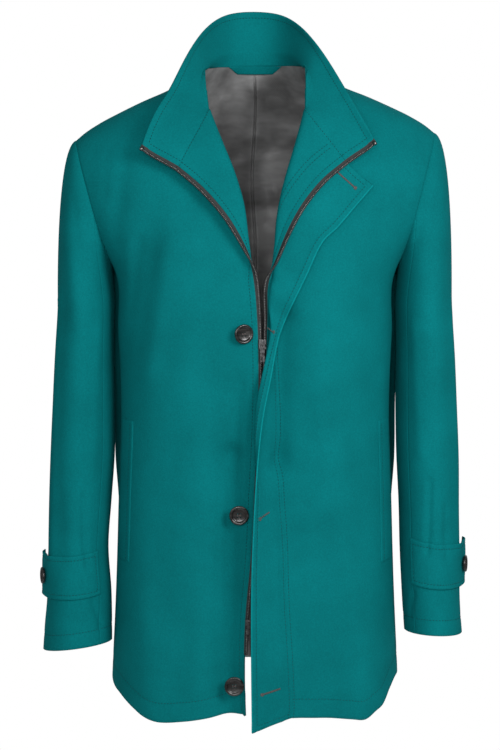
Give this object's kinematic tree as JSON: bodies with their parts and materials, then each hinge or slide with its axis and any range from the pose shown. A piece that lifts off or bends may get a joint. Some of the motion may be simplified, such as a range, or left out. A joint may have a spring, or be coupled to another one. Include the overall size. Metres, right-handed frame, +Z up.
{
  "type": "car coat",
  "caption": "Hip-length teal wool car coat, worn form and empty: turned-out lapels with zip edges, stand collar, fly flap, cuff tabs and welt pockets.",
  "frame": {"origin": "middle of the neck at the level of the collar seam, where the wearer's neck carries the coat", "axes": "+Z up out of the neck, -Y the way the wearer faces, +X to the wearer's left"},
  "size_m": [0.5712, 0.2958, 0.9282],
  "materials": {
    "teal_cloth": "brushed woollen, matt",
    "grey_lining": "satin",
    "zip_tape": "woven tape, matt",
    "button_horn": "polished",
    "zip_metal": "gunmetal"
  },
  "bodies": {
    "coat": {"back": "teal_cloth", "back_lining": "grey_lining", "button_cuff_left": "button_horn", "button_cuff_right": "button_horn", "button_front_1": "button_horn", "button_front_2": "button_horn", "button_front_3": "button_horn", "collar": "teal_cloth", "cuff_tab_left": "teal_cloth", "cuff_tab_right": "teal_cloth", "facing_left": "teal_cloth", "facing_right": "teal_cloth", "fly_flap": "teal_cloth", "front_left": "teal_cloth", "front_right": "teal_cloth", "hanger_loop": "teal_cloth", "pocket_welt_left": "teal_cloth", "pocket_welt_right": "teal_cloth", "sleeve_under_left": "teal_cloth", "sleeve_under_right": "teal_cloth", "sleeve_upper_left": "teal_cloth", "sleeve_upper_right": "teal_cloth", "zip_left": "zip_tape", "zip_right": "zip_tape", "zip_slider_top": "zip_metal", "zip_slider_bottom": "zip_metal"},
    "pull_top": {"zip_pull_top": "zip_metal"},
    "pull_bottom": {"zip_pull_bottom": "zip_metal"}
  },
  "joints": [
    {"name": "pull_top_hinge", "type": "hinge", "parent": "coat", "child": "pull_top", "pos_m": [0.00912, -0.13482, -0.351], "axis": [-1, 0, 0], "range_deg": [0, 170]},
    {"name": "pull_bottom_hinge", "type": "hinge", "parent": "coat", "child": "pull_bottom", "pos_m": [-0.008, -0.1419, -0.714], "axis": [-1, 0, 0], "range_deg": [0, 170]}
  ]
}
